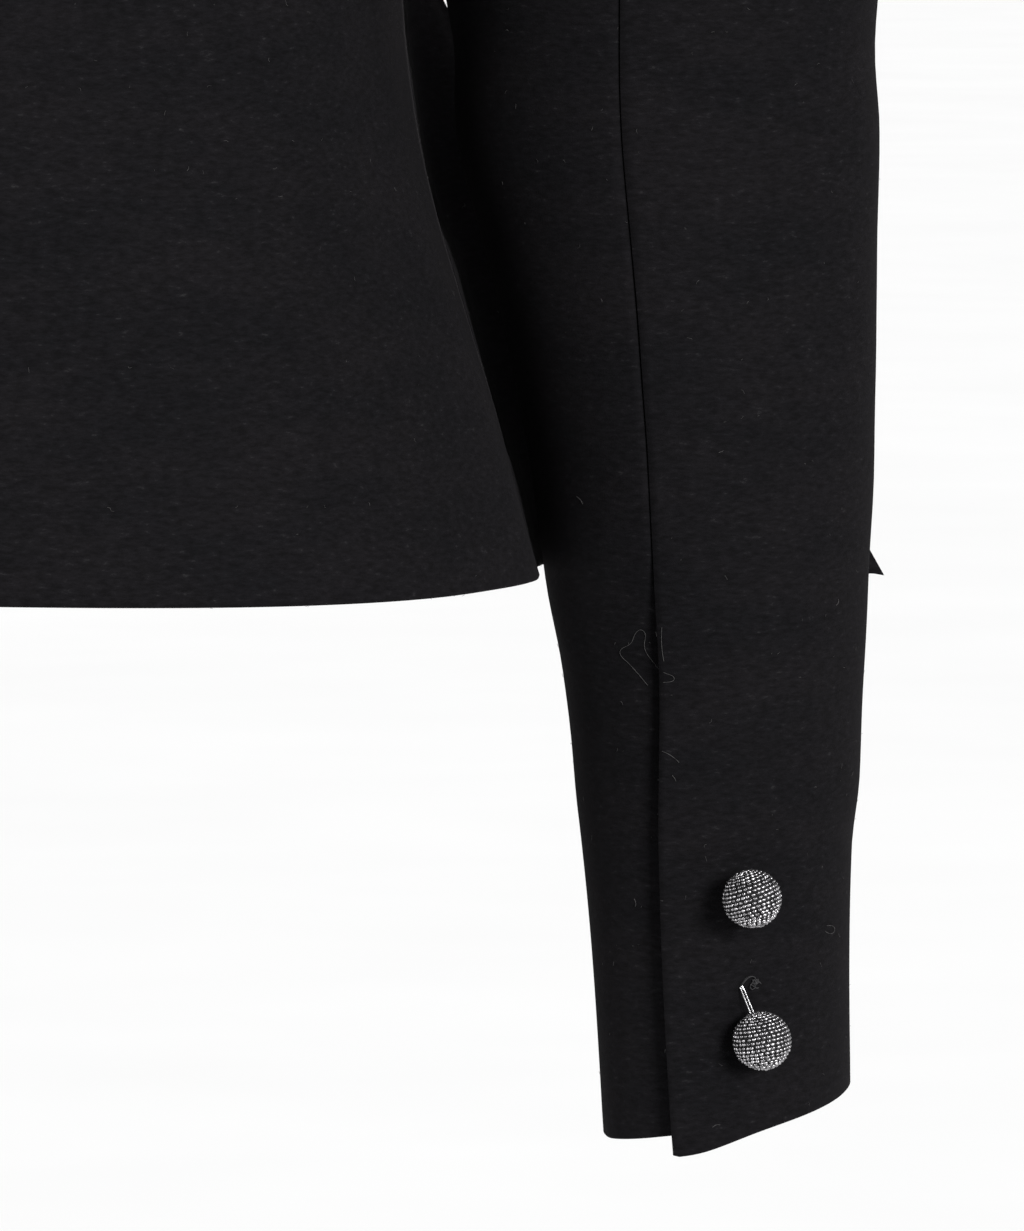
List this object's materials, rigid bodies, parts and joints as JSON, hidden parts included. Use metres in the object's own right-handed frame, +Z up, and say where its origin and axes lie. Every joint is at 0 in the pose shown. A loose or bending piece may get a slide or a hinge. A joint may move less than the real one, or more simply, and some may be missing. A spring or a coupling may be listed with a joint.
{
  "type": "blazer",
  "caption": "Cropped open blazer in dark wool with notched lapels, flared hem, vented cuffs and beaded ball buttons, filled out as worn.",
  "frame": {"origin": "midway between the neck points of the two shoulder seams, where the wearer's neck and shoulders hold the blazer", "axes": "+Z up, the front faces -Y, the wearer's left is +X"},
  "size_m": [0.506, 0.3121, 0.6841],
  "materials": {
    "wool_cloth": "brushed near-black wool with a short nap and fine horizontal slubs",
    "beads": "rows of small dark silver beads",
    "wire": "thin bright wire"
  },
  "bodies": {
    "root": {"back_left": "wool_cloth", "back_right": "wool_cloth", "front_left": "wool_cloth", "front_right": "wool_cloth", "top_sleeve_left": "wool_cloth", "top_sleeve_right": "wool_cloth", "under_sleeve_left": "wool_cloth", "under_sleeve_right": "wool_cloth", "lapel_left": "wool_cloth", "lapel_right": "wool_cloth", "collar": "wool_cloth", "sleeve_button_upper_left": "beads", "sleeve_button_upper_right": "beads", "sleeve_button_lower_left": "beads", "sleeve_button_lower_right": "beads", "sleeve_shank_upper_left": "wire", "sleeve_shank_upper_right": "wire", "sleeve_shank_lower_left": "wire", "sleeve_shank_lower_right": "wire", "front_button": "beads", "front_shank": "wire"}
  },
  "joints": []
}
